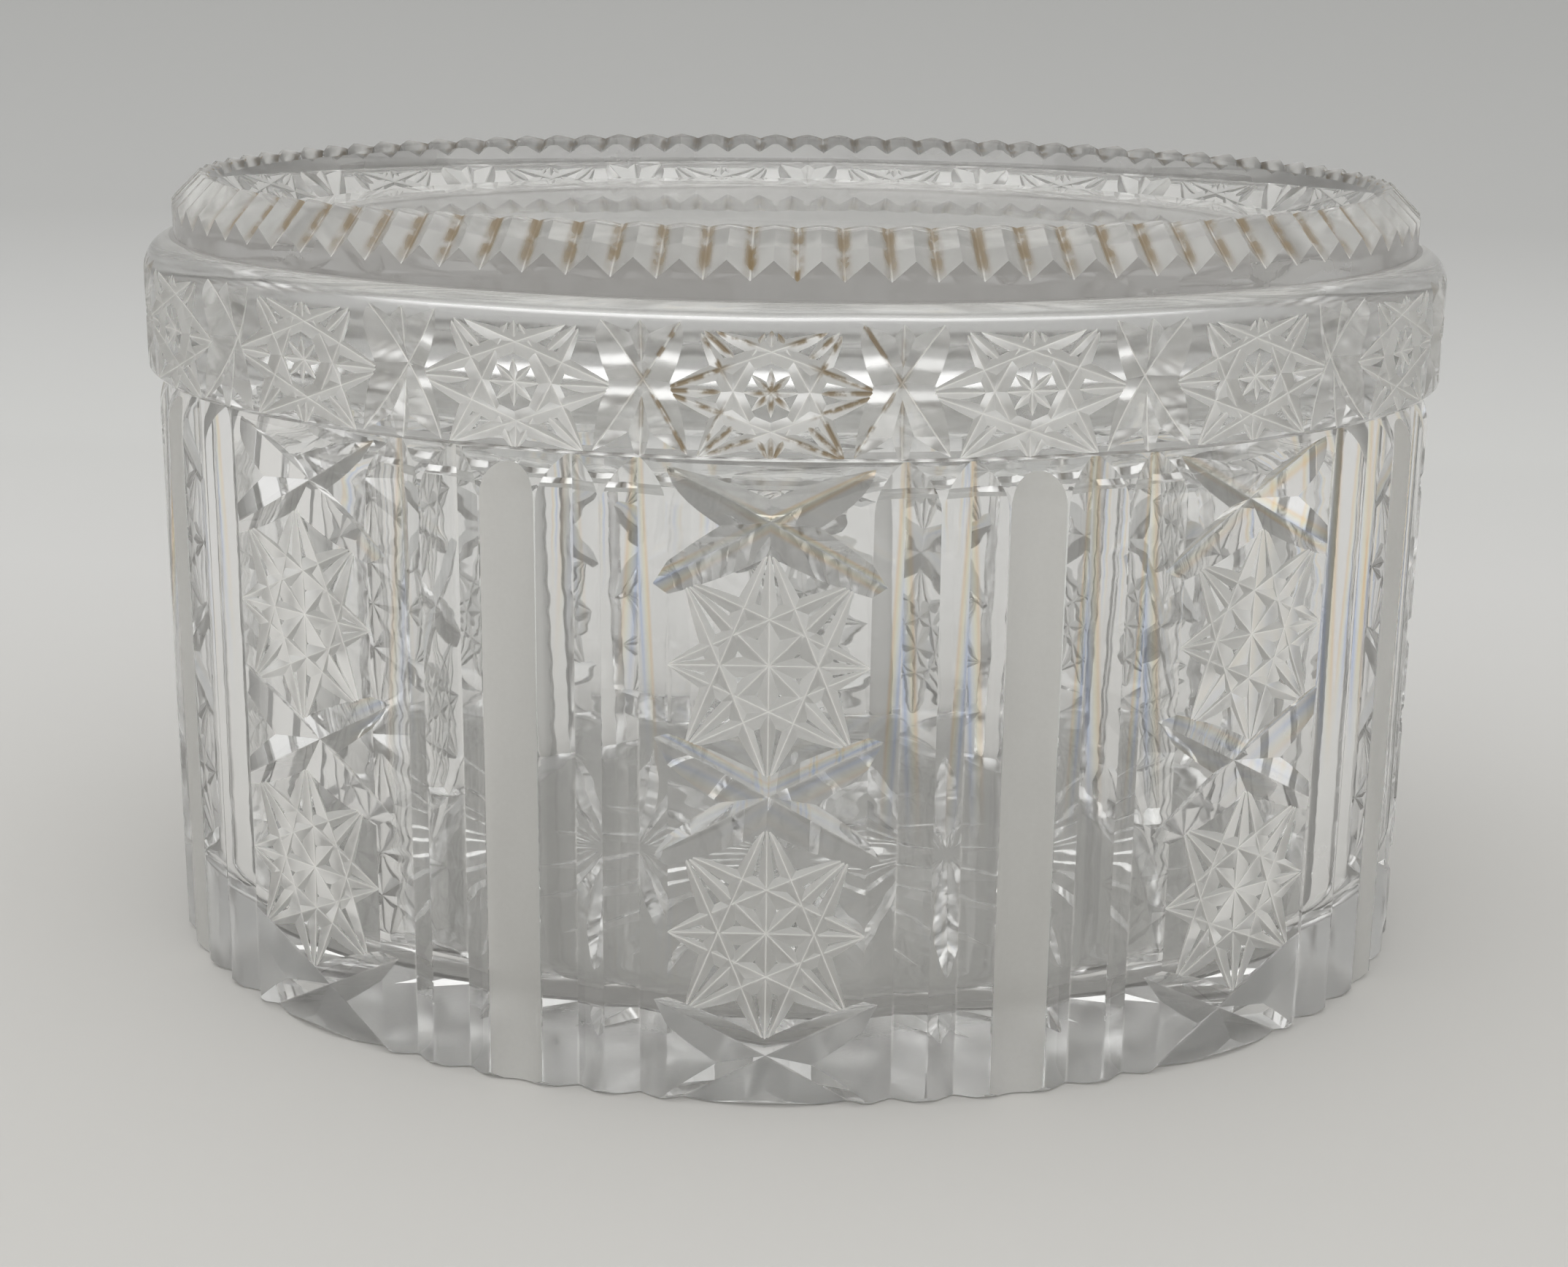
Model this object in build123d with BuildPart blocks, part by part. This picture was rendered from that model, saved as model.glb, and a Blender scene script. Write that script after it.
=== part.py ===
from build123d import *
import math
import os

# An oval table box in cut crystal: a thick tub and a loose lid. Millimetres, +Z up, front towards -Y.
# The origin is under the middle of the tub, on the surface that it stands on.

# Tub
tub_length = 197.6
tub_width = 160.6
tub_height = 90.0
wall = 9.0
floor = 11.0
floor_fillet = 8.0
foot_bevel = 0.8
shoulder_rise = 6.8
shoulder_inset = 2.4

# Upright cuts in the tub: between the plain panels stands a round flute with mitres on both sides
panels = 8
mitre_width = 9.0
mitre_depth = 2.4
mitres_each_side = 2
flute_width = 8.0
flute_depth = 1.2

# Crossed mitres in each panel: the lowest row stands over the foot, the highest hangs under the rim
cross_rows = 3
cross_over_foot = 6.2
cross_under_rim = 8.6
cross_length = 46.0
cross_width = 6.8
cross_depth = 2.8
cross_slant = 28.5

# Stars between the crosses, with points at the sides, the ends and the corners: each ray joins a point to
# the third one on
star_step = 3
star_width = 26.8
star_height = 32.0
star_corner_width = 22.4
star_corner_height = 23.0
ray_width = 3.0
ray_depth = 1.0

# Lid: band, rounded shoulder, neck, notched rim and dished top
lid_overhang = 1.2
band_height = 20.0
band_fillet = 5.0
neck_inset = 4.6
neck_height = 5.1
rim_run = 3.9
rim_rise = 4.0
crest_land = 0.4
dish_run = 7.1
dish_depth = 7.0
crown = 10.5
ceiling_fillet = 6.0

# Flange under the lid that finds the tub's mouth
flange_clearance = 0.5
flange_width = 5.3
flange_depth = 6.5
flange_bevel = 0.8

# Cuts in the lid: notches over the rim, and fans of three mitres round the band
notches = 90
notch_depth = 1.9
fans = 17
fan_length = 22.6
fan_width = 7.0
fan_depth = 2.2
fan_slant = 56.0
stem_width = 4.4
stem_depth = 1.5

# How far neighbouring cuts run into each other, and how far a cutter stands out of the glass
ridge_overlap = 0.35
cutter_stand = 2.0
flattest_cut = 0.001

# Worked out from the sizes above
shoulder_radius = (shoulder_rise**2 + shoulder_inset**2) / (2 * shoulder_inset)
flute_radius = (flute_width**2 / 4 + flute_depth**2) / (2 * flute_depth)
mouth_length = tub_length - 2 * wall
mouth_width = tub_width - 2 * wall
lid_length = tub_length + 2 * lid_overhang
lid_width = tub_width + 2 * lid_overhang
crest_inset = neck_inset + rim_run
band_top = tub_height + band_height
neck_top = band_top + neck_height
crest_top = neck_top + rim_rise
dish_floor = crest_top - dish_depth
ceiling = dish_floor - crown
flange_bottom = tub_height - flange_depth


class Outline:
    """An oval seen from above. Places on it are measured along its edge, from the middle of the front."""

    def __init__(self, length, width):
        self.half_length = length / 2
        self.half_width = width / 2
        with BuildSketch() as plan:
            Ellipse(self.half_length, self.half_width)
        self.edge = plan.edge()
        self.total = self.edge.length

    def spot(self, along):
        """Point of the outline at a distance from the middle of the front, and its run there."""
        place = (0.75 * self.total + along) % self.total
        point = self.edge.position_at(place, PositionMode.LENGTH)
        run = self.edge.tangent_at(place, PositionMode.LENGTH)
        return point, run

    def upright(self, along):
        """Place at foot level with X along the outline, Y into the glass and Z up."""
        point, run = self.spot(along)
        return Location(Plane(origin=point, x_dir=run, z_dir=(0, 0, 1)))

    def facing(self, along, height, slant=0.0, lean=0.0):
        """Place on the wall with X along it, turned by a slant, and Z out of it, leaning upwards."""
        point, run = self.spot(along)
        level = math.cos(math.radians(lean))
        out = Vector(run.Y * level, -run.X * level, math.sin(math.radians(lean)))
        face = Plane(origin=(point.X, point.Y, height), x_dir=run, z_dir=out)
        return Location(face) * Location((0, 0, 0), (0, 0, slant))

    def bulge(self, along):
        """How sharply the outline bends at a place, as one over its radius."""
        point, run = self.spot(along)
        across = self.half_length * point.Y / self.half_width
        endways = self.half_width * point.X / self.half_length
        return self.half_length * self.half_width / (across**2 + endways**2) ** 1.5

    def inside(self, inset):
        """The oval that lies an inset further in."""
        return Ellipse(self.half_length - inset, self.half_width - inset)


def wheel_cut(outline, along, height, slant, length, width, depth):
    """Arc of a V-edged wheel in a slanting cut, which runs out of the bulging wall at both ends."""
    reach = length / 2
    bend = 2 * depth / reach**2 - outline.bulge(along) * math.cos(math.radians(slant)) ** 2
    if abs(bend) < flattest_cut:
        bend = flattest_cut
    hub = Axis((0, 0, 1 / bend - depth), (0, 1, 0))
    half_turn = math.degrees(math.asin(reach * abs(bend)))
    lip = width / 2 * (1 + cutter_stand / depth)
    with BuildPart() as wheel:
        with BuildSketch(Plane.YZ):
            Polygon((0, -depth), (lip, cutter_stand), (-lip, cutter_stand), align=None)
        revolve(axis=hub, revolution_arc=2 * half_turn)
    return wheel.part.rotate(hub, -half_turn).moved(outline.facing(along, height, slant))


tub_outline = Outline(tub_length, tub_width)
mouth_outline = Outline(mouth_length, mouth_width)
lid_outline = Outline(lid_length, lid_width)
rim_outline = Outline(lid_length - neck_inset - crest_inset, lid_width - neck_inset - crest_inset)

# Upright cutters of the tub, and where they stand
mitre_lip = (mitre_width + ridge_overlap) / 2 * (1 + cutter_stand / mitre_depth)
with BuildPart() as mitre_cutter:
    with BuildSketch():
        Polygon((0, mitre_depth), (-mitre_lip, -cutter_stand), (mitre_lip, -cutter_stand), align=None)
    extrude(amount=tub_height)

with BuildPart() as flute_cutter:
    with BuildSketch():
        with Locations((0, flute_depth - flute_radius)):
            Circle(flute_radius)
    extrude(amount=tub_height)

panel_pitch = tub_outline.total / panels
flute_places = []
mitre_places = []
for panel in range(panels):
    middle = (panel + 0.5) * panel_pitch
    flute_places.append(tub_outline.upright(middle))
    for step in range(mitres_each_side):
        offset = flute_width / 2 + (step + 0.5) * mitre_width
        mitre_places.append(tub_outline.upright(middle - offset))
        mitre_places.append(tub_outline.upright(middle + offset))

# Crossed mitres of the panels
cross_pitch = (tub_height - cross_over_foot - cross_under_rim) / (cross_rows - 1)
cross_cuts = {cross_slant: [], -cross_slant: []}
for slant, cuts in cross_cuts.items():
    for panel in range(panels):
        for row in range(cross_rows):
            place = (panel * panel_pitch, cross_over_foot + row * cross_pitch, slant)
            cuts.append(wheel_cut(tub_outline, *place, cross_length, cross_width, cross_depth))

# Stars of the panels, one list of cuts for each direction of a ray
side = Vector(star_width / 2, 0)
top = Vector(0, star_height / 2)
rising = Vector(star_corner_width / 2, star_corner_height / 2)
falling = Vector(-star_corner_width / 2, star_corner_height / 2)
star_points = [side, rising, top, falling, -side, -rising, -top, -falling]
star_cuts = []
for number, start in enumerate(star_points):
    end = star_points[(number + star_step) % len(star_points)]
    ray = end - start
    centre = (start + end) / 2
    slant = math.degrees(math.atan2(ray.Y, ray.X))
    rays = []
    for panel in range(panels):
        for row in range(cross_rows - 1):
            height = cross_over_foot + (row + 0.5) * cross_pitch + centre.Y
            place = (panel * panel_pitch + centre.X, height, slant)
            rays.append(wheel_cut(tub_outline, *place, ray.length, ray_width, ray_depth))
    star_cuts.append(rays)

# Tub: a thick oval cup with a rounded shoulder under its rim, then its cuts
with BuildPart() as box_body:
    with BuildSketch():
        tub_outline.inside(0)
    extrude(amount=tub_height - shoulder_rise + shoulder_radius)
    fillet(box_body.edges().sort_by(Axis.Z)[-1], shoulder_radius)
    split(bisect_by=Plane.XY.offset(tub_height), keep=Keep.BOTTOM)
    chamfer(box_body.edges().sort_by(Axis.Z)[0], foot_bevel)
    with BuildSketch(Plane.XY.offset(floor)):
        mouth_outline.inside(0)
    extrude(amount=tub_height - floor, mode=Mode.SUBTRACT)
    inner_floor = box_body.faces().filter_by(Plane.XY).sort_by(Axis.Z)[1]
    fillet(inner_floor.edges(), floor_fillet)
    with Locations(*flute_places):
        add(flute_cutter.part, mode=Mode.SUBTRACT)
    with Locations(*mitre_places):
        add(mitre_cutter.part, mode=Mode.SUBTRACT)
    for cuts in cross_cuts.values():
        add(cuts, mode=Mode.SUBTRACT, clean=False)
    for rays in star_cuts:
        add(rays, mode=Mode.SUBTRACT, clean=False)

# Notch cutter of the rim, which lies along the rim's slope, and where it goes
rim_lean = math.degrees(math.atan2(rim_run, rim_rise))
rim_slope = math.hypot(rim_run, rim_rise)
notch_pitch = rim_outline.total / notches
notch_lip = (notch_pitch + ridge_overlap) / 2 * (1 + cutter_stand / notch_depth)
with BuildPart() as notch_cutter:
    with BuildSketch(Plane.XZ):
        Polygon((0, -notch_depth), (notch_lip, cutter_stand), (-notch_lip, cutter_stand), align=None)
    extrude(amount=rim_slope, both=True)

notch_places = []
for notch in range(notches):
    along = (notch + 0.5) * notch_pitch
    notch_places.append(rim_outline.facing(along, neck_top + rim_rise / 2, lean=rim_lean))

# Fans of the band: two slanting mitres and an upright stem through one middle
fan_pitch = lid_outline.total / fans
fan_cuts = {fan_slant: [], -fan_slant: [], 90.0: []}
for slant, cuts in fan_cuts.items():
    width, depth = (stem_width, stem_depth) if slant == 90.0 else (fan_width, fan_depth)
    for fan in range(fans):
        place = ((fan + 0.5) * fan_pitch, tub_height + band_height / 2, slant)
        cuts.append(wheel_cut(lid_outline, *place, fan_length, width, depth))

# Lid: the band with its rounded shoulder, the neck, the sloping rim, the dish and the flange, then the cuts
with BuildPart() as lid:
    with BuildSketch(Plane.XY.offset(tub_height)):
        lid_outline.inside(0)
    extrude(amount=band_height)
    fillet(lid.edges().sort_by(Axis.Z)[-1], band_fillet)
    with BuildSketch(Plane.XY.offset(band_top - band_fillet)):
        lid_outline.inside(neck_inset)
    extrude(amount=band_fillet + neck_height)
    with BuildSketch(Plane.XY.offset(neck_top)):
        lid_outline.inside(neck_inset)
    with BuildSketch(Plane.XY.offset(crest_top)):
        lid_outline.inside(crest_inset)
    loft(ruled=True)
    with BuildSketch(Plane.XY.offset(dish_floor)):
        lid_outline.inside(crest_inset + crest_land + dish_run)
    with BuildSketch(Plane.XY.offset(crest_top)):
        lid_outline.inside(crest_inset + crest_land)
    loft(ruled=True, mode=Mode.SUBTRACT)
    with BuildSketch(Plane.XY.offset(flange_bottom)):
        mouth_outline.inside(flange_clearance)
    extrude(amount=flange_depth)
    chamfer(lid.edges().sort_by(Axis.Z)[0], flange_bevel)
    with BuildSketch(Plane.XY.offset(flange_bottom)):
        mouth_outline.inside(flange_clearance + flange_width)
    extrude(amount=ceiling - flange_bottom, mode=Mode.SUBTRACT)
    level_faces = lid.faces().filter_by(Plane.XY)
    underside = level_faces.filter_by_position(Axis.Z, ceiling - crown / 2, ceiling + crown / 2)
    fillet(underside.edges(), ceiling_fillet)
    with Locations(*notch_places):
        add(notch_cutter.part, mode=Mode.SUBTRACT)
    for cuts in fan_cuts.values():
        add(cuts, mode=Mode.SUBTRACT, clean=False)

os.makedirs("parts", exist_ok=True)
box_body.part.label = "box_body"
export_step(box_body.part, "parts/box_body.step")
lid.part.label = "lid"
export_step(lid.part, "parts/lid.step")
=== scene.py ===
import bisect
import bpy
import math
from mathutils import Matrix, Vector


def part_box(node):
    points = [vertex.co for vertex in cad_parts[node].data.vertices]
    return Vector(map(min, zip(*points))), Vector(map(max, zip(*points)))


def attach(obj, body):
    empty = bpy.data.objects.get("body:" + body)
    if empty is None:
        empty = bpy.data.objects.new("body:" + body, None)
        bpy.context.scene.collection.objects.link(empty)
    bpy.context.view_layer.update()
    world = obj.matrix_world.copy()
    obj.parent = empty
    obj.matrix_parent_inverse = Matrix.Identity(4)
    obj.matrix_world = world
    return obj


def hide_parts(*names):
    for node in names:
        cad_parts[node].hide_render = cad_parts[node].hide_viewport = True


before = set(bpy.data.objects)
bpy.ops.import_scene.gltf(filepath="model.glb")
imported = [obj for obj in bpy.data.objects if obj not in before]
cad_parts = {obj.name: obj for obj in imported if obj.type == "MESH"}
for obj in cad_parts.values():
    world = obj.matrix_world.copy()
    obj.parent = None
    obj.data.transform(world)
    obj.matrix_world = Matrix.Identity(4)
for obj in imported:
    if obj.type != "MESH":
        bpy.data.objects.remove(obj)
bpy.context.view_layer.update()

# The oval crystal box as it comes from the cutter's bench, in millimetres until a piece is finished
MM = 0.001
tub_low, tub_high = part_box("box_body")
lid_low, lid_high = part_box("lid")

# Tub
tub_length = (tub_high.x - tub_low.x) / MM
tub_width = (tub_high.y - tub_low.y) / MM
tub_height = tub_high.z / MM
wall = 9.0
floor_thickness = 8.5
floor_fillet = 8.0
foot_bevel = 0.8
shoulder_rise = 6.8
shoulder_inset = 2.4
mouth_bevel = 0.5

# Upright cuts of the tub
panels = 8
mitre_width = 9.0
mitre_depth = 2.4
mitres_each_side = 2
flute_width = 8.0
flute_depth = 1.2

# Crossed mitres and stars in the tub's panels
cross_rows = 3
cross_over_foot = 6.2
cross_under_rim = 8.6
cross_length = 46.0
cross_width = 6.8
cross_depth = 2.8
cross_slant = 28.5
star_step = 3
star_width = 26.8
star_height = 32.0
star_corner_width = 22.4
star_corner_height = 23.0
ray_width = 3.0
ray_depth = 1.0

# Star under the tub
base_rays = 24
base_ray_start = 3.0
base_ray_inset = 30.0
base_ray_width = 6.5
base_ray_depth = 2.2

# Lid
lid_length = (lid_high.x - lid_low.x) / MM
lid_width = (lid_high.y - lid_low.y) / MM
crest_top = lid_high.z / MM
flange_bottom = lid_low.z / MM
band_height = 20.0
band_fillet = 5.0
band_foot_bevel = 0.6
neck_inset = 4.6
neck_height = 5.1
rim_run = 3.9
rim_rise = 4.0
crest_run = 2.8
crest_fall = 1.6
dish_run = 7.1
dish_depth = 7.0
crown = 10.5
ceiling_fillet = 14.0
flange_clearance = 0.5
flange_width = 5.3
flange_bevel = 0.8

# Cuts of the lid
notches = 90
notch_depth = 1.9
fans = 17
fan_length = 22.6
fan_width = 7.0
fan_depth = 2.2
fan_slant = 56.0
stem_width = 4.4
stem_depth = 1.5
band_star_width = 28.0
band_star_height = 18.2
band_corner_width = 19.0
band_corner_height = 17.2
band_star_centre = 9.0
band_ray_width = 2.6
band_ray_depth = 0.8
tip_share = 0.56
tip_width = 1.6
tip_depth = 0.5
bud_width = 7.2
bud_height = 6.4
bud_corner_width = 5.2
bud_corner_height = 4.8
bud_ray_width = 1.5
bud_ray_depth = 0.45

# How the blanks and the wheels are divided, and how far a tool runs past the glass
oval_steps = 480
arc_step = 6.0
wheel_steps = 10
flute_steps = 128
ridge_overlap = 0.35
tool_stand = 2.0
tool_run = 3 * tub_height
flattest_bend = 0.001
straight_bend = 0.0001
seat_gap = 0.1
smooth_angle = 13.0

# How a cut is marked on the glass: the way from its valley, and the way of glass that no wheel reached
widest_cut = 10.0
uncut = 50.0

# What a wheel leaves behind, in the order of a piece's materials
POLISHED = 0
MATT = 1
GROUND = 2
SATIN = 3
BASE = 4

# Colours of the glass, of what lies on it, and of the painted shade and grime on the lid's neck
glass_index = 1.54
clear_tint = (0.998, 1.0, 0.998, 1)
matt_tint = (0.97, 0.97, 0.96, 1)
ground_tint = (0.98, 0.98, 0.97, 1)
film_colour = (0.80, 0.79, 0.76, 1)
shade_and_grime_colour = (0.27, 0.26, 0.25, 1)
flute_colour = (0.58, 0.57, 0.54, 1)
base_colour = (0.52, 0.51, 0.49, 1)
haze_colour = (0.60, 0.59, 0.56, 1)
valley_colour = (0.84, 0.83, 0.80, 1)
deposit_colour = (0.22, 0.165, 0.095, 1)

# Noises of the finish: scale, counted per metre, and detail
ripple_noise = (38, 1)
bend_noise = (30, 1)
gleam_noise = (33, 1)
polish_noise = (90, 3)
smear_noise = (35, 5)
broken_noise = (120, 2)
stone_noise = (1500, 3)
drift_noise = (40, 2)
grit_noise = (900, 3)
grime_noise = (420, 5)
patch_noise = (420, 4)
cloud_noise = (6, 3)

# Table and room, in metres
table_front = -1.5
table_back = 0.75
table_half_width = 2.2
table_drop = 0.0003
wall_height = 1.6
sweep_radius = 0.4
sweep_steps = 24
pale_share = 0.16
room_strength = 1.2
window_colour = (1.3, 1.3, 1.28, 1)
window_share = 0.7
lamp_length = 2.4
lamp_width = 1.8
lamp_power = 5
lamp_place = (-0.5, -0.3, 1.8)
lamp_tilt = -12.0

# The camera stands before the box, a little above its lid
camera_place = (0.0125, -0.3914, 0.1551)
camera_pitch = -15.75
camera_roll = -0.70
camera_yaw = 1.94
picture_width = 2149
focal_pixels = 3418
sensor_width = 36.0

# Worked out from the sizes above
shoulder_radius = (shoulder_rise**2 + shoulder_inset**2) / (2 * shoulder_inset)
flute_radius = (flute_width**2 / 4 + flute_depth**2) / (2 * flute_depth)
lid_overhang = (lid_length - tub_length) / 2
band_top = tub_height + band_height
neck_top = band_top + neck_height
crest_inset = neck_inset + rim_run
dish_floor = crest_top - dish_depth
ceiling = dish_floor - crown
flange_inset = lid_overhang + wall + flange_clearance
hollow_inset = flange_inset + flange_width
crest_radius = (crest_run**2 + crest_fall**2) / (2 * crest_fall)


class Oval:
    """An oval seen from above. Places on it are measured along its edge, from the middle of the front."""

    steps = 3600

    def __init__(self, length, width):
        self.half_length = length / 2
        self.half_width = width / 2
        self.reached = [0.0]
        for step in range(self.steps):
            start = self.point(step * 2 * math.pi / self.steps)
            end = self.point((step + 1) * 2 * math.pi / self.steps)
            self.reached.append(self.reached[-1] + math.dist(start, end))
        self.total = self.reached[-1]

    def point(self, angle):
        return self.half_length * math.sin(angle), -self.half_width * math.cos(angle)

    def angle(self, along):
        """Angle on the oval's own circle for a distance from the middle of the front."""
        along %= self.total
        step = min(bisect.bisect_right(self.reached, along) - 1, self.steps - 1)
        share = (along - self.reached[step]) / (self.reached[step + 1] - self.reached[step])
        return (step + share) * 2 * math.pi / self.steps

    def holds(self, point):
        """Whether a point lies on the oval or within a hundredth of it."""
        across = math.hypot(point.x / self.half_length, point.y / self.half_width)
        return abs(across - 1) < 0.01

    def bulge(self, along):
        """How sharply the oval bends at a place, as one over its radius."""
        angle = self.angle(along)
        across = self.half_length * math.cos(angle)
        endways = self.half_width * math.sin(angle)
        return self.half_length * self.half_width / (across**2 + endways**2) ** 1.5

    def facing(self, along, height, slant=0.0, lean=0.0):
        """Place on the wall with X along it, turned by a slant, and Z out of it, leaning upwards."""
        angle = self.angle(along)
        x, y = self.point(angle)
        run_x = self.half_length * math.cos(angle)
        run_y = self.half_width * math.sin(angle)
        heading = math.atan2(run_y, run_x)
        stand = Matrix.Rotation(math.radians(90 - lean), 4, "X")
        turn = Matrix.Rotation(math.radians(slant), 4, "Z")
        return Matrix.Translation((x, y, height)) @ Matrix.Rotation(heading, 4, "Z") @ stand @ turn


def pick(piece):
    """Selects one piece and nothing else."""
    bpy.ops.object.select_all(action="DESELECT")
    piece.select_set(True)
    bpy.context.view_layer.objects.active = piece


def arc(inset, height, radius, start, end):
    """Points of a round corner in a profile, from one angle to another in degrees."""
    steps = max(1, round(abs(end - start) / arc_step))
    points = []
    for step in range(steps + 1):
        angle = math.radians(start + (end - start) * step / steps)
        points.append((inset + radius * math.cos(angle), height + radius * math.sin(angle)))
    return points


def oval_blank(name, oval, profile):
    """Uncut glass: oval rings one after another, each at an inset from the outline and at a height."""
    inset, height = profile[0]
    long_half = oval.half_length - inset
    short_half = oval.half_width - inset
    bpy.ops.object.select_all(action="DESELECT")
    bpy.ops.mesh.primitive_circle_add(vertices=oval_steps, radius=1, fill_type="NGON")
    blank = bpy.context.object
    blank.name = name
    bpy.ops.object.mode_set(mode="EDIT")
    bpy.ops.transform.resize(value=(long_half, short_half, 1), center_override=(0, 0, 0))
    bpy.ops.transform.translate(value=(0, 0, height))
    for next_inset, next_height in profile[1:]:
        rise = (0, 0, next_height - height)
        bpy.ops.mesh.extrude_region_move(TRANSFORM_OT_translate={"value": rise})
        next_long = oval.half_length - next_inset
        next_short = oval.half_width - next_inset
        widening = (next_long / long_half, next_short / short_half, 1)
        bpy.ops.transform.resize(value=widening, center_override=(0, 0, 0))
        long_half, short_half, height = next_long, next_short, next_height
    bpy.ops.mesh.select_all(action="SELECT")
    bpy.ops.mesh.normals_make_consistent(inside=False)
    bpy.ops.object.mode_set(mode="OBJECT")
    mark_cut(blank, lambda corner: (uncut, 0))
    coat(blank, POLISHED)
    return blank


def mark_cut(piece, place):
    """Writes each corner's place in its cut into the UV map: the way from the valley, and along it."""
    places = piece.data.uv_layers.active.data
    for loop in piece.data.loops:
        places[loop.index].uv = place(piece.data.vertices[loop.vertex_index].co)


def coat(piece, surface):
    """Gives a piece or a tool all surfaces, and its faces one of them."""
    for material in surfaces:
        piece.data.materials.append(material)
    for face in piece.data.polygons:
        face.material_index = surface


wheels = {}


def wheel(length, width, depth, bend, surface):
    """Part of a V-edged wheel as it stands in its cut: X along the cut, Z out of the glass."""
    size = (length, width, depth, round(bend, 5), surface)
    if size in wheels:
        return wheels[size]
    hub = 1 / bend - depth
    half_turn = math.asin(length / 2 * abs(bend))
    lip = width / 2 * (1 + tool_stand / depth)
    triangle_half = math.sin(math.radians(60))
    triangle_height = 1.5
    bpy.ops.object.select_all(action="DESELECT")
    bpy.ops.mesh.primitive_circle_add(vertices=3, radius=1, fill_type="NGON")
    tool = bpy.context.object
    tool.name = "wheel"
    bpy.ops.object.mode_set(mode="EDIT")
    bpy.ops.transform.rotate(value=math.pi / 2, orient_axis="X", center_override=(0, 0, 0))
    bpy.ops.transform.rotate(value=math.pi / 2, orient_axis="Z", center_override=(0, 0, 0))
    stretch = (1, lip / triangle_half, (depth + tool_stand) / triangle_height)
    bpy.ops.transform.resize(value=stretch, center_override=(0, 0, -1))
    bpy.ops.transform.translate(value=(0, 0, 1 - depth))
    bpy.ops.mesh.spin(steps=wheel_steps, angle=2 * half_turn, center=(0, 0, hub), axis=(0, 1, 0))
    bpy.ops.mesh.select_all(action="SELECT")
    bpy.ops.mesh.normals_make_consistent(inside=False)
    bpy.ops.object.mode_set(mode="OBJECT")
    to_hub = Matrix.Translation((0, 0, hub))
    tool.data.transform(to_hub @ Matrix.Rotation(half_turn, 4, "Y") @ to_hub.inverted())
    mark_cut(tool, lambda corner: (abs(corner.y), corner.x))
    coat(tool, surface)
    bpy.context.scene.collection.objects.unlink(tool)
    wheels[size] = tool
    return tool


def set_down(tool, place):
    """A copy of a tool at its place on the glass."""
    copy = tool.copy()
    copy.data = tool.data.copy()
    copy.matrix_world = place
    return copy


def wheel_cut(oval, along, height, slant, length, width, depth, surface):
    """A wheel in a slanting cut, which runs out of the bulging wall at both ends."""
    bend = 8 * depth / length**2 - oval.bulge(along) * math.cos(math.radians(slant)) ** 2
    if abs(bend) < flattest_bend:
        bend = flattest_bend
    return set_down(wheel(length, width, depth, bend, surface), oval.facing(along, height, slant))


def star_points(width, tall, corner_width, corner_height):
    """The eight points of a star: at its sides, its ends and its corners."""
    side = Vector((width / 2, 0))
    top = Vector((0, tall / 2))
    rising = Vector((corner_width / 2, corner_height / 2))
    falling = Vector((-corner_width / 2, corner_height / 2))
    return [side, rising, top, falling, -side, -rising, -top, -falling]


def ground_cut(oval, middle, start, end, width, depth):
    """A ground cut between two points that are measured from the middle of a star."""
    ray = end - start
    centre = (start + end) / 2
    slant = math.degrees(math.atan2(ray.y, ray.x))
    along, height = middle
    return wheel_cut(oval, along + centre.x, height + centre.y, slant, ray.length, width, depth, GROUND)


def star_rays(oval, middle, points, width, depth):
    """Cuts from each point of a star to the third one on."""
    cuts = []
    for number, start in enumerate(points):
        end = points[(number + star_step) % len(points)]
        cuts.append(ground_cut(oval, middle, start, end, width, depth))
    return cuts


def star_spokes(oval, middle, points, width, depth):
    """Cuts from each point of a star through its middle to the point across."""
    cuts = []
    for point in points[:len(points) // 2]:
        cuts.append(ground_cut(oval, middle, point, -point, width, depth))
    return cuts


def carve(piece, tools):
    """Takes the tools' shapes out of a piece and puts the tools away."""
    rack = bpy.data.collections.new("rack")
    bpy.context.scene.collection.children.link(rack)
    for tool in tools:
        rack.objects.link(tool)
    pick(piece)
    cut = piece.modifiers.new("cut", "BOOLEAN")
    cut.operation = "DIFFERENCE"
    cut.solver = "MANIFOLD"
    cut.operand_type = "COLLECTION"
    cut.collection = rack
    bpy.ops.object.modifier_apply(modifier=cut.name)
    for tool in tools:
        used = tool.data
        bpy.data.objects.remove(tool)
        bpy.data.meshes.remove(used)
    bpy.data.collections.remove(rack)


def finish_piece(piece, node, body):
    """Brings a cut piece to metres, smooths its round faces and sets it in place of its solid."""
    piece.data.transform(Matrix.Scale(MM, 4))
    pick(piece)
    bpy.ops.object.shade_smooth_by_angle(angle=math.radians(smooth_angle))
    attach(piece, body)
    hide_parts(node)


def base_star(oval):
    """Wheels set under the tub, in rays from its middle towards its edge."""
    rays = []
    for ray in range(base_rays):
        x, y = oval.point(ray * 2 * math.pi / base_rays)
        length = math.hypot(x, y) - base_ray_inset - base_ray_start
        bend = 8 * base_ray_depth / length**2
        outwards = Matrix.Translation((base_ray_start + length / 2, 0, 0))
        underneath = Matrix.Rotation(math.pi, 4, "X")
        place = Matrix.Rotation(math.atan2(y, x), 4, "Z") @ outwards @ underneath
        rays.append(set_down(wheel(length, base_ray_width, base_ray_depth, bend, POLISHED), place))
    return rays


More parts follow.
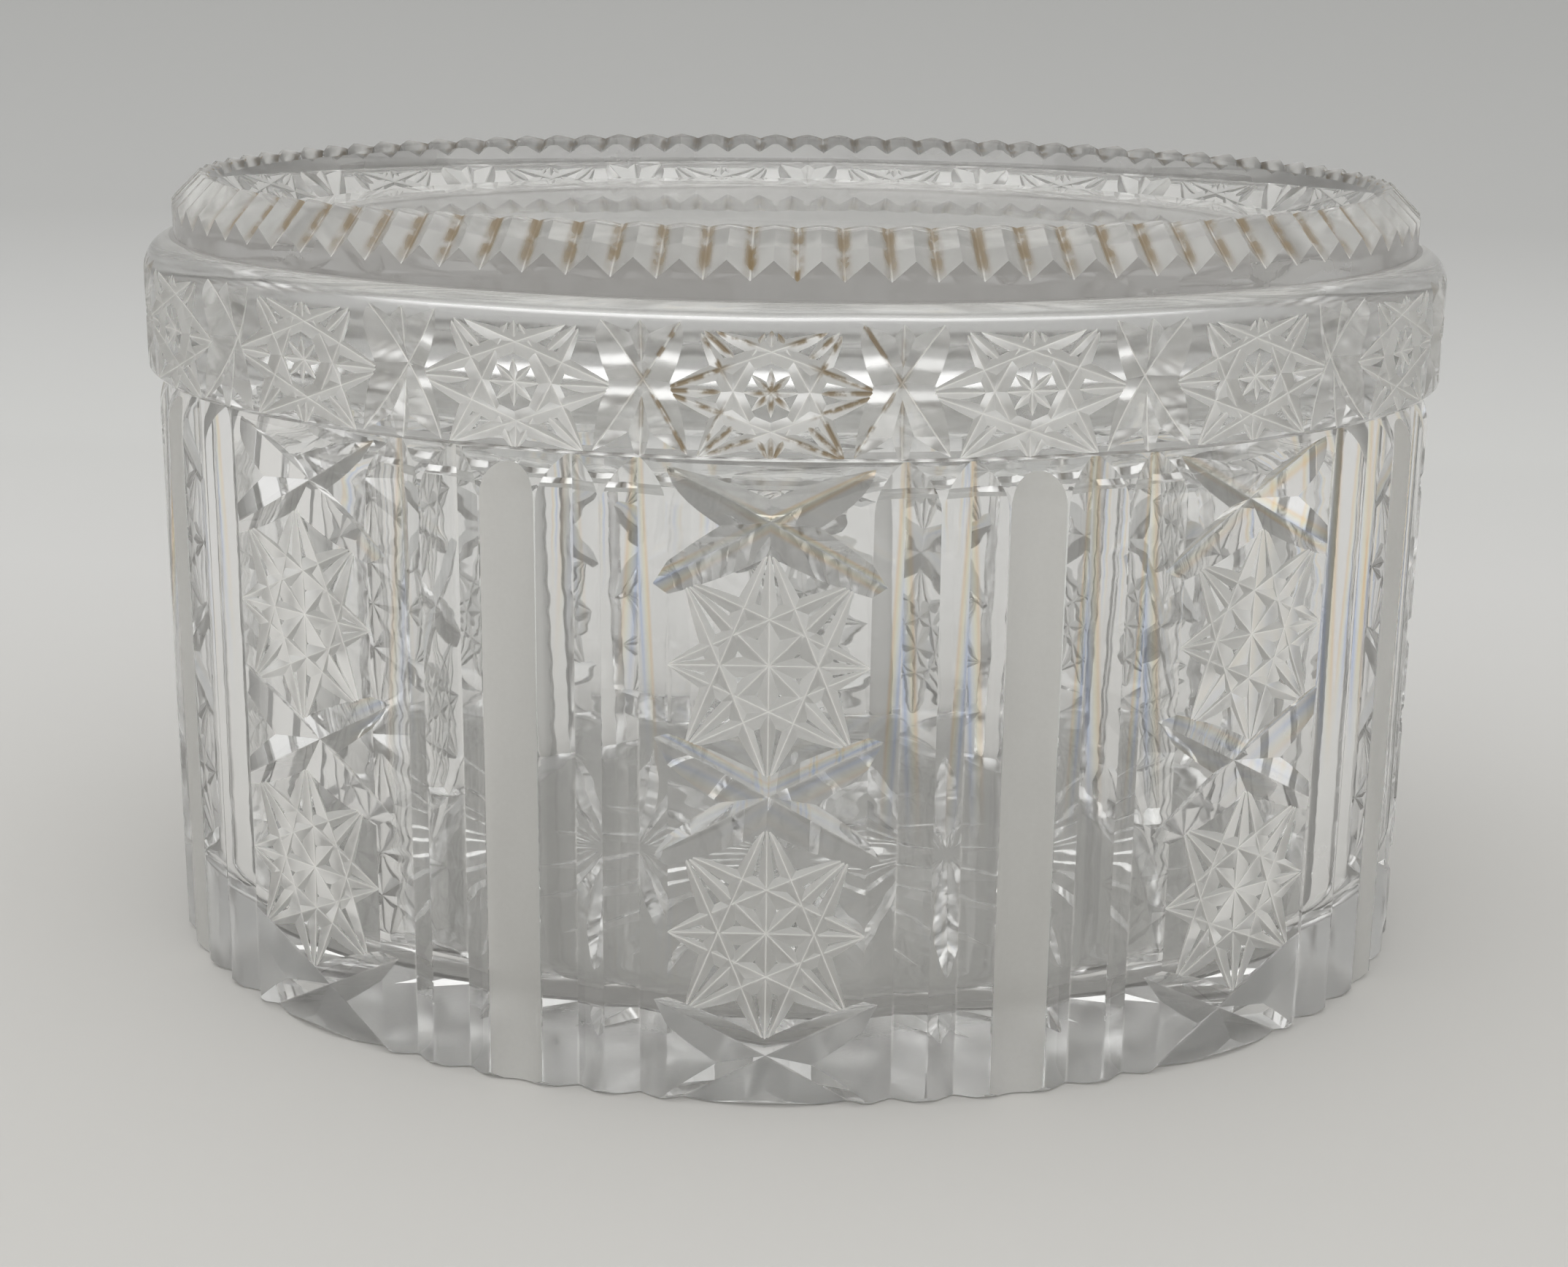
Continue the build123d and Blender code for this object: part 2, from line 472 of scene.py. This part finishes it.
def make_tub():
    """The tub: an oval cup with flutes, mitres, crosses and stars."""
    oval = Oval(tub_length, tub_width)
    low_shoulder = tub_height - shoulder_rise
    shoulder_end = math.degrees(math.asin(shoulder_rise / shoulder_radius))
    profile = [(foot_bevel, 0), (0, foot_bevel)]
    profile += arc(shoulder_radius, low_shoulder, shoulder_radius, 180, 180 - shoulder_end)
    profile += [(wall - mouth_bevel, tub_height), (wall, tub_height - mouth_bevel)]
    profile += arc(wall + floor_fillet, floor_thickness + floor_fillet, floor_fillet, 180, 270)
    facing_down = -0.9
    tub = oval_blank("cut_tub", oval, profile)
    for face in tub.data.polygons:
        if face.normal.z < facing_down:
            face.material_index = BASE

    bpy.ops.object.select_all(action="DESELECT")
    bpy.ops.mesh.primitive_cylinder_add(vertices=flute_steps, radius=flute_radius, depth=tool_run)
    flute = bpy.context.object
    mark_cut(flute, lambda corner: (uncut, 0))
    coat(flute, MATT)
    bpy.context.scene.collection.objects.unlink(flute)
    pitch = oval.total / panels
    flutes = []
    mitres = []
    for panel in range(panels):
        middle = (panel + 0.5) * pitch
        sunk = Matrix.Translation((0, 0, flute_radius - flute_depth))
        upright = Matrix.Rotation(math.pi / 2, 4, "X")
        flutes.append(set_down(flute, oval.facing(middle, tub_height / 2) @ sunk @ upright))
        for step in range(mitres_each_side):
            offset = flute_width / 2 + (step + 0.5) * mitre_width
            bar = wheel(tool_run, mitre_width + ridge_overlap, mitre_depth, straight_bend, POLISHED)
            for side in (-1, 1):
                mitres.append(set_down(bar, oval.facing(middle + side * offset, tub_height / 2, 90)))
    carve(tub, flutes)
    carve(tub, mitres)

    crosses = []
    stars = []
    points = star_points(star_width, star_height, star_corner_width, star_corner_height)
    row_pitch = (tub_height - cross_over_foot - cross_under_rim) / (cross_rows - 1)
    for panel in range(panels):
        for row in range(cross_rows):
            height = cross_over_foot + row * row_pitch
            for slant in (cross_slant, -cross_slant):
                place = (panel * pitch, height, slant)
                crosses.append(wheel_cut(oval, *place, cross_length, cross_width, cross_depth, POLISHED))
        for row in range(cross_rows - 1):
            middle = (panel * pitch, cross_over_foot + (row + 0.5) * row_pitch)
            stars += star_rays(oval, middle, points, ray_width, ray_depth)
            stars += star_spokes(oval, middle, points, ray_width, ray_depth)
    carve(tub, crosses)
    carve(tub, stars)
    carve(tub, base_star(oval))
    finish_piece(tub, "box_body", "tub")


def make_lid():
    """The lid: flange, band with stars and fans, rounded shoulder, neck, notched rim and dish."""
    oval = Oval(lid_length, lid_width)
    seat = tub_height + seat_gap
    fillet_foot = band_top - band_fillet
    neck_angle = math.degrees(math.acos((band_fillet - neck_inset) / band_fillet))
    profile = arc(hollow_inset + ceiling_fillet, ceiling - ceiling_fillet, ceiling_fillet, 90, 180)
    flange_foot = flange_bottom + flange_bevel
    profile += [(hollow_inset, flange_foot), (hollow_inset - flange_bevel, flange_bottom)]
    profile += [(flange_inset + flange_bevel, flange_bottom), (flange_inset, flange_foot)]
    profile += [(flange_inset, seat), (band_foot_bevel, seat), (0, seat + band_foot_bevel)]
    profile += arc(band_fillet, fillet_foot, band_fillet, 180, 180 - neck_angle)
    crest_end = math.degrees(math.asin(crest_run / crest_radius))
    profile += [(neck_inset, neck_top)]
    profile += arc(crest_inset, crest_top - crest_radius, crest_radius, 90, 90 - crest_end)
    profile += [(crest_inset + crest_run + dish_run, dish_floor)]
    lid = oval_blank("cut_lid", oval, profile)
    # The neck's band is marked in the UV map, for the painted shade and grime under the rim's overhang.
    neck = Oval(lid_length - 2 * neck_inset, lid_width - 2 * neck_inset)
    margin = 1.0
    low, high = band_top - margin, neck_top + margin
    mark_cut(lid, lambda corner: (uncut, neck.holds(corner) and low < corner.z < high))
    facing_down = -0.3
    for face in lid.data.polygons:
        if face.normal.z < facing_down and face.center.z > tub_height + margin:
            face.material_index = SATIN

    rim = Oval(lid_length - neck_inset - crest_inset, lid_width - neck_inset - crest_inset)
    rim_lean = math.degrees(math.atan2(rim_run, rim_rise))
    rim_slope = math.hypot(rim_run, rim_rise)
    pitch = rim.total / notches
    bar = wheel(2 * rim_slope, pitch + ridge_overlap, notch_depth, flattest_bend, SATIN)
    notch_cuts = []
    for notch in range(notches):
        place = rim.facing((notch + 0.5) * pitch, neck_top + rim_rise / 2, 90, rim_lean)
        notch_cuts.append(set_down(bar, place))
    carve(lid, notch_cuts)

    fan_cuts = []
    stars = []
    points = star_points(band_star_width, band_star_height, band_corner_width, band_corner_height)
    buds = star_points(bud_width, bud_height, bud_corner_width, bud_corner_height)
    pitch = oval.total / fans
    for fan in range(fans):
        place = ((fan + 0.5) * pitch, tub_height + band_height / 2)
        for slant in (fan_slant, -fan_slant):
            fan_cuts.append(wheel_cut(oval, *place, slant, fan_length, fan_width, fan_depth, SATIN))
        fan_cuts.append(wheel_cut(oval, *place, 90, fan_length, stem_width, stem_depth, SATIN))
        middle = (fan * pitch, tub_height + band_star_centre)
        stars += star_rays(oval, middle, points, band_ray_width, band_ray_depth)
        stars += star_spokes(oval, middle, buds, bud_ray_width, bud_ray_depth)
        for point in points:
            stars.append(ground_cut(oval, middle, point, point * (1 - tip_share), tip_width, tip_depth))
    carve(lid, fan_cuts)
    carve(lid, stars)
    finish_piece(lid, "lid", "lid")


class Value:
    """A node's output that takes part in sums like a number."""

    def __init__(self, finish, socket):
        self.finish = finish
        self.socket = socket

    def math(self, operation, first, second):
        return self.finish.node("ShaderNodeMath", {"operation": operation}, {0: first, 1: second})

    def __add__(self, other):
        return self.math("ADD", self, other)

    def __radd__(self, other):
        return self.math("ADD", other, self)

    def __sub__(self, other):
        return self.math("SUBTRACT", self, other)

    def __rsub__(self, other):
        return self.math("SUBTRACT", other, self)

    def __mul__(self, other):
        return self.math("MULTIPLY", self, other)

    def __rmul__(self, other):
        return self.math("MULTIPLY", other, self)


class Finish:
    """A material, or the world, that is put together from nodes."""

    def __init__(self, owner):
        owner.use_nodes = True
        self.tree = owner.node_tree
        self.tree.nodes.clear()

    def node(self, kind, settings=None, inputs=None, output=0):
        """Adds a node: its settings first, then the values or links of its sockets."""
        made = self.tree.nodes.new(kind)
        for name, value in (settings or {}).items():
            if name == "stops":
                ramp = made.color_ramp.elements
                for place, colour in value[1:-1]:
                    ramp.new(place).color = colour
                ramp[0].color = value[0][1]
                ramp[-1].color = value[-1][1]
            else:
                setattr(made, name, value)
        for name, value in (inputs or {}).items():
            if isinstance(value, Value):
                self.tree.links.new(value.socket, made.inputs[name])
            else:
                made.inputs[name].default_value = value
        if not made.outputs:
            return None
        return Value(self, made.outputs[output])

    def fade(self, value, start, end):
        """Goes from 0 to 1 as a value goes from a start to an end."""
        settings = {"interpolation_type": "SMOOTHSTEP"}
        return self.node("ShaderNodeMapRange", settings, {0: value, 1: start, 2: end})

    def noise(self, kind, where):
        scale, detail = kind
        return self.node("ShaderNodeTexNoise", None, {"Vector": where, "Scale": scale, "Detail": detail})

    def stretch(self, where, upwards):
        return self.node("ShaderNodeMapping", None, {"Vector": where, "Scale": (1, 1, upwards)})

    def mix(self, share, first, second):
        """Mixes two colours."""
        return self.node("ShaderNodeMix", {"data_type": "RGBA"}, {0: share, 6: first, 7: second}, 2)

    def cover(self, share, under, over):
        """Covers a share of one finish with another."""
        return self.node("ShaderNodeMixShader", None, {0: share, 1: under, 2: over})

    def coating(self, colour, roughness):
        """An opaque layer, such as dust."""
        return self.node("ShaderNodeBsdfPrincipled", None, {"Base Color": colour, "Roughness": roughness})

    def glass(self, tint, roughness, inputs=None):
        """Lead glass."""
        return self.node("ShaderNodeBsdfPrincipled", None, {
            "Base Color": tint,
            "Roughness": roughness,
            "IOR": glass_index,
            "Transmission Weight": 1.0,
            **(inputs or {}),
        })

    def bump(self, strength, rise, height):
        inputs = {"Strength": strength, "Distance": rise, "Height": height}
        return self.node("ShaderNodeBump", None, inputs)

    def output(self, surface):
        self.node("ShaderNodeOutputMaterial", None, {"Surface": surface})

    def place(self):
        return self.node("ShaderNodeTexCoord", output="Object")

    def split(self, vector, axis):
        return self.node("ShaderNodeSeparateXYZ", None, {0: vector}, axis)


def fringes(finish, place, from_valley):
    """Painted colour fringes of split light: faint rainbow tints in bands that slant across the polished
    cuts of the tub's upper half.
    """
    height = finish.split(place, 2)
    upright = finish.stretch(place, 0.3)
    across = finish.fade(from_valley + 3.0 * finish.noise(bend_noise, upright) + 45 * height, 2.4, 8.4)
    colours = finish.node("ShaderNodeValToRGB", {"stops": [
        (0.0, (1.0, 1.0, 1.0, 1)),
        (0.22, (1.0, 1.0, 1.0, 1)),
        (0.34, (0.44, 0.58, 1.0, 1)),
        (0.44, (0.86, 0.93, 1.0, 1)),
        (0.56, (1.0, 0.95, 0.68, 1)),
        (0.66, (1.0, 0.72, 0.44, 1)),
        (0.76, (1.0, 1.0, 1.0, 1)),
        (1.0, (1.0, 1.0, 1.0, 1)),
    ]}, {0: across})
    gleams = finish.fade(finish.noise(gleam_noise, upright), 0.42, 0.55)
    in_cut = 1 - finish.fade(from_valley, widest_cut, uncut - widest_cut)
    upper_half = finish.fade(height, 0.035, 0.055)
    return finish.mix(gleams * in_cut * upper_half, clear_tint, colours)


def clear_crystal():
    """Polished lead glass: rippled where no wheel went, with painted colour fringes in its cuts, a film,
    some dust, and painted shade and grime on the neck under the rim.
    """
    material = bpy.data.materials.new("clear_crystal")
    finish = Finish(material)
    place = finish.place()
    in_cut = finish.node("ShaderNodeTexCoord", output="UV")
    from_valley = finish.split(in_cut, 0)
    blank = finish.fade(from_valley, widest_cut, uncut - widest_cut)
    ripples = finish.noise(ripple_noise, finish.stretch(place, 5)) * blank
    glass = finish.glass(
        fringes(finish, place, from_valley),
        0.01 + 0.03 * finish.noise(polish_noise, place),
        {"Normal": finish.bump(0.3, 0.0004, ripples)},
    )
    smears = finish.fade(finish.noise(smear_noise, place), 0.35, 0.8)
    line = 1 - finish.fade(from_valley, 0.06, 0.28)
    broken = finish.fade(finish.noise(broken_noise, place), 0.35, 0.65)
    facing = finish.node("ShaderNodeNewGeometry", output="Normal")
    lying = finish.fade(finish.split(facing, 2), 0.75, 0.98)
    over_floor = finish.fade(finish.split(place, 2), 0.03, 0.05)
    dusty = lying * (0.04 + 0.08 * smears + 0.10 * over_floor)
    film_share = 0.015 + 0.04 * smears + 0.25 * line * broken + dusty
    handled = finish.cover(film_share, glass, finish.coating(film_colour, 0.8))
    # Dark grey coat on the neck under the rim: painted shade under the rim's overhang, and grime.
    on_neck = finish.fade(finish.split(in_cut, 1), 0.3, 1.0)
    shade_and_grime = blank * on_neck * (0.45 + 0.3 * smears)
    finish.output(finish.cover(shade_and_grime, handled, finish.coating(shade_and_grime_colour, 0.9)))
    return material


def matt_crystal(name, roughness, haze, tone, scuffs=0.0):
    """Glass left matt from the stone wheel, and scuffed more towards the foot's edge."""
    material = bpy.data.materials.new(name)
    finish = Finish(material)
    place = finish.place()
    grain = finish.noise(stone_noise, place)
    bump = finish.bump(0.15, 0.0001, grain)
    stone = finish.glass(matt_tint, roughness + 0.1 * finish.noise(drift_noise, place), {"Normal": bump})
    bloom = finish.node("ShaderNodeBsdfPrincipled", None, {
        "Base Color": tone,
        "Roughness": 0.7,
        "Normal": bump,
    })
    oval_scale = (2 / (tub_length * MM), 2 / (tub_width * MM), 0)
    outwards = finish.node("ShaderNodeVectorMath", {"operation": "MULTIPLY"}, {0: place, 1: oval_scale})
    reach = finish.node("ShaderNodeVectorMath", {"operation": "LENGTH"}, {0: outwards}, "Value")
    share = haze + 0.1 * grain + scuffs * finish.fade(reach, 0.5, 0.75)
    finish.output(finish.cover(share, stone, bloom))
    return material


def deposits(finish, place, from_valley):
    """How much brown dirt sits in the valleys of the notched rim and of the band's middle star."""
    on_rim = finish.fade(finish.split(place, 2), (neck_top - 3) * MM, neck_top * MM)
    streak = 1 - finish.fade(from_valley, 0.35, 1.3)
    grime = finish.fade(finish.noise(grime_noise, place), 0.27, 0.58)
    star = (0, -lid_width / 2 * MM, (tub_height + band_star_centre) * MM)
    away = finish.node("ShaderNodeVectorMath", {"operation": "DISTANCE"}, {0: place, 1: star}, "Value")
    at_tips = finish.fade(away, 0.0055, 0.0075) * (1 - finish.fade(away, 0.014, 0.020))
    in_bud = 1 - finish.fade(away, 0.0015, 0.003)
    caked = 1 - finish.fade(from_valley, 0.15, 0.5)
    patches = finish.fade(finish.noise(patch_noise, place), 0.40, 0.55)
    return on_rim * streak * grime * 0.85 + (at_tips + in_bud) * caked * patches * 0.9


def ground_crystal(name, roughness, haze):
    """Cuts that were ground and not polished: hazy, paler down each valley, and some of them soiled."""
    material = bpy.data.materials.new(name)
    finish = Finish(material)
    place = finish.place()
    from_valley = finish.split(finish.node("ShaderNodeTexCoord", output="UV"), 0)
    grain = finish.noise(grit_noise, place)
    stone = finish.glass(ground_tint, roughness + 0.1 * grain)
    line = 1 - finish.fade(from_valley, 0.05, 0.22)
    bloom = finish.coating(finish.mix(line, haze_colour, valley_colour), 0.7)
    hazy = finish.cover(haze + 0.1 * grain + 0.3 * line, stone, bloom)
    soil = deposits(finish, place, from_valley)
    finish.output(finish.cover(soil, hazy, finish.coating(deposit_colour, 0.95)))
    return material


def table_top():
    """A pale table that turns up into a grey wall, with painted light brightest in a band before the bend
    and painted shade darkening up the wall, and less of the box's shadow where glass shows it.
    """
    material = bpy.data.materials.new("table_top")
    finish = Finish(material)
    place = finish.place()
    backwards = finish.split(place, 1) + 2 * finish.split(place, 2)
    # Painted light and shade: lightest in a band where the table nears the bend, a little darker towards
    # the front, and darker up the wall
    colour = finish.node("ShaderNodeValToRGB", {"stops": [
        (0.0, (0.59, 0.58, 0.56, 1)),
        (0.2, (0.595, 0.585, 0.565, 1)),
        (0.3, (0.63, 0.62, 0.60, 1)),
        (0.45, (0.665, 0.66, 0.65, 1)),
        (0.58, (0.635, 0.635, 0.625, 1)),
        (0.7, (0.525, 0.525, 0.52, 1)),
        (0.8, (0.42, 0.42, 0.415, 1)),
        (1.0, (0.355, 0.355, 0.35, 1)),
    ]}, {0: finish.node("ShaderNodeMapRange", None, {0: backwards, 1: -0.35, 2: 0.9})})
    laid = finish.coating(colour, 0.55 + 0.1 * finish.noise(cloud_noise, place))
    through_glass = finish.node("ShaderNodeLightPath", output="Is Transmission Ray")
    pale = finish.node("ShaderNodeEmission", None, {"Color": colour, "Strength": 1.0})
    finish.output(finish.cover(pale_share * through_glass, laid, pale))
    material.cycles.emission_sampling = "NONE"
    return material


def make_stage():
    """Table and wall in one sweep."""
    half_depth = (table_back - table_front) / 2
    middle = (table_back + table_front) / 2
    bpy.ops.object.select_all(action="DESELECT")
    bpy.ops.mesh.primitive_plane_add(size=2)
    sweep = bpy.context.object
    sweep.name = "table"
    bpy.ops.object.mode_set(mode="EDIT")
    bpy.ops.transform.resize(value=(table_half_width, half_depth, 1), center_override=(0, 0, 0))
    bpy.ops.transform.translate(value=(0, middle, -table_drop))
    bpy.ops.mesh.select_all(action="DESELECT")
    bpy.ops.object.mode_set(mode="OBJECT")
    for edge in sweep.data.edges:
        edge.select = all(sweep.data.vertices[v].co.y > 0 for v in edge.vertices)
    bpy.ops.object.mode_set(mode="EDIT")
    bpy.ops.mesh.select_mode(type="EDGE")
    bpy.ops.mesh.extrude_edges_move(TRANSFORM_OT_translate={"value": (0, 0, wall_height)})
    bpy.ops.mesh.select_all(action="DESELECT")
    bpy.ops.object.mode_set(mode="OBJECT")
    for edge in sweep.data.edges:
        ends = [sweep.data.vertices[v].co for v in edge.vertices]
        under_wall = all(end.y > 0 and end.z < wall_height / 2 for end in ends)
        edge.select = under_wall and abs(ends[0].x - ends[1].x) > table_half_width
    bpy.ops.object.mode_set(mode="EDIT")
    bpy.ops.mesh.bevel(offset=sweep_radius, segments=sweep_steps)
    bpy.ops.object.mode_set(mode="OBJECT")
    bpy.ops.object.shade_smooth()
    sweep.data.materials.append(table_top())


def make_light():
    """A pale room, brighter towards the front, with one broad lamp over the table."""
    world = bpy.data.worlds.new("room")
    bpy.context.scene.world = world
    finish = Finish(world)
    direction = finish.node("ShaderNodeTexCoord", output="Generated")
    frontal = finish.fade(-1 * finish.split(direction, 1), 0.0, 1.0)
    colour = finish.node("ShaderNodeValToRGB", {"stops": [
        (0.0, (0.42, 0.42, 0.41, 1)),
        (0.45, (0.60, 0.60, 0.59, 1)),
        (0.75, (0.80, 0.80, 0.79, 1)),
        (1.0, (0.85, 0.85, 0.84, 1)),
    ]}, {0: finish.split(direction, 2) * 0.5 + 0.5})
    walls = finish.mix(window_share * frontal, colour, window_colour)
    glow = finish.node("ShaderNodeBackground", None, {"Color": walls, "Strength": room_strength})
    finish.node("ShaderNodeOutputWorld", None, {"Surface": glow})

    lamp = bpy.data.lights.new("broad_lamp", "AREA")
    lamp.shape = "RECTANGLE"
    lamp.size = lamp_length
    lamp.size_y = lamp_width
    lamp.energy = lamp_power
    holder = bpy.data.objects.new("broad_lamp", lamp)
    tilt = Matrix.Rotation(math.radians(lamp_tilt), 4, "Y")
    holder.matrix_world = Matrix.Translation(lamp_place) @ tilt
    bpy.context.scene.collection.objects.link(holder)


def make_camera():
    """The camera, a little above the lid and turned down to the box."""
    camera = bpy.data.cameras.new("camera")
    camera.sensor_width = sensor_width
    camera.lens = sensor_width * focal_pixels / picture_width
    camera.clip_start = 0.01
    holder = bpy.data.objects.new("camera", camera)
    aim = Matrix.Rotation(math.radians(camera_yaw), 4, "Z")
    aim = aim @ Matrix.Rotation(math.radians(camera_pitch), 4, "X")
    aim = aim @ Matrix.Rotation(math.radians(camera_roll), 4, "Y")
    holder.matrix_world = Matrix.Translation(camera_place) @ aim @ Matrix.Rotation(math.pi / 2, 4, "X")
    bpy.context.scene.collection.objects.link(holder)
    bpy.context.scene.camera = holder


# The finishes, in the order of their numbers
surfaces = [
    clear_crystal(),
    matt_crystal("matt_crystal", roughness=0.55, haze=0.35, tone=flute_colour),
    ground_crystal("ground_crystal", roughness=0.26, haze=0.17),
    ground_crystal("satin_crystal", roughness=0.08, haze=0.10),
    matt_crystal("ground_base", roughness=0.03, haze=0.06, tone=base_colour, scuffs=0.16),
]
make_tub()
make_lid()
make_stage()
make_light()
make_camera()
bpy.context.scene.view_settings.view_transform = "Standard"
bpy.context.scene.cycles.max_bounces = 32
bpy.context.scene.cycles.transmission_bounces = 32
bpy.context.scene.cycles.glossy_bounces = 24
